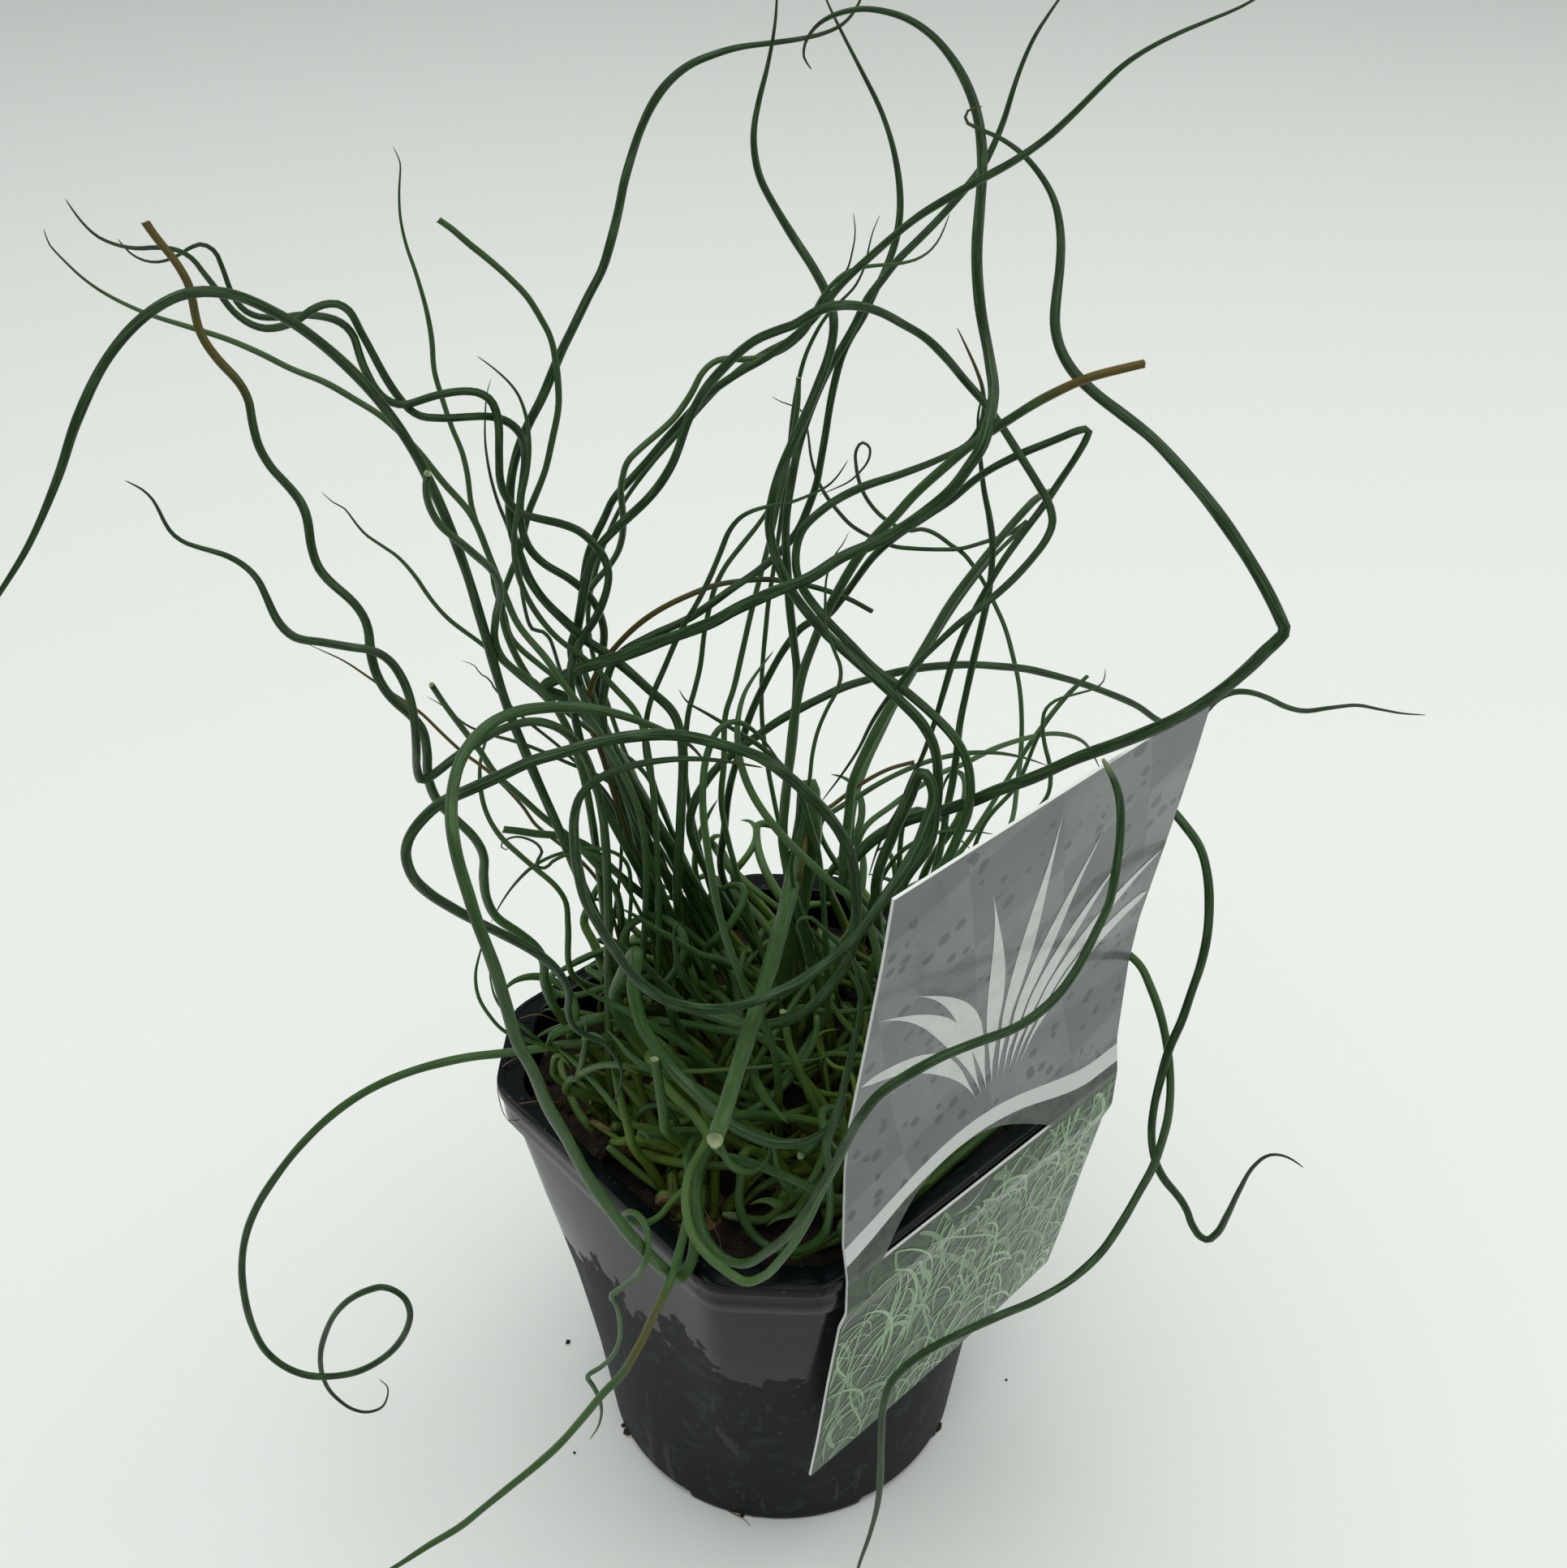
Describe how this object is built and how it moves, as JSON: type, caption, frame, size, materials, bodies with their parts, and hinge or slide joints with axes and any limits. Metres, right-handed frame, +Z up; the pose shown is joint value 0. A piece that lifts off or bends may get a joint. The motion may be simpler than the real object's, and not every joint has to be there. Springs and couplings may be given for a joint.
{
  "type": "potted corkscrew rush",
  "caption": "Corkscrew rush: curled, arching and kinked green stems from tufts in a black nursery pot with a square-round lip and a hooked-on plant label",
  "frame": {"origin": "centre of the pot's foot, on the surface that it stands on", "axes": "+Z up; the pot's flat sides face X and Y; the label hangs on the side that faces -Y"},
  "size_m": [0.3451, 0.227, 0.3911],
  "materials": {
    "black_plastic": "glossy black polypropylene, dusty low down",
    "peat": "damp dark potting peat with bark",
    "printed_plastic": "glossy printed plastic sheet",
    "rush_green": "dark green ribbed rush stems"
  },
  "bodies": {
    "root": {"pot": "black_plastic", "soil": "peat", "label": "printed_plastic", "tuft_01": "rush_green", "tuft_02": "rush_green", "tuft_03": "rush_green", "tuft_04": "rush_green", "tuft_05": "rush_green", "tuft_06": "rush_green", "tuft_07": "rush_green", "tuft_08": "rush_green", "tuft_09": "rush_green", "tuft_10": "rush_green", "tuft_11": "rush_green", "tuft_12": "rush_green", "tuft_13": "rush_green"}
  },
  "joints": []
}
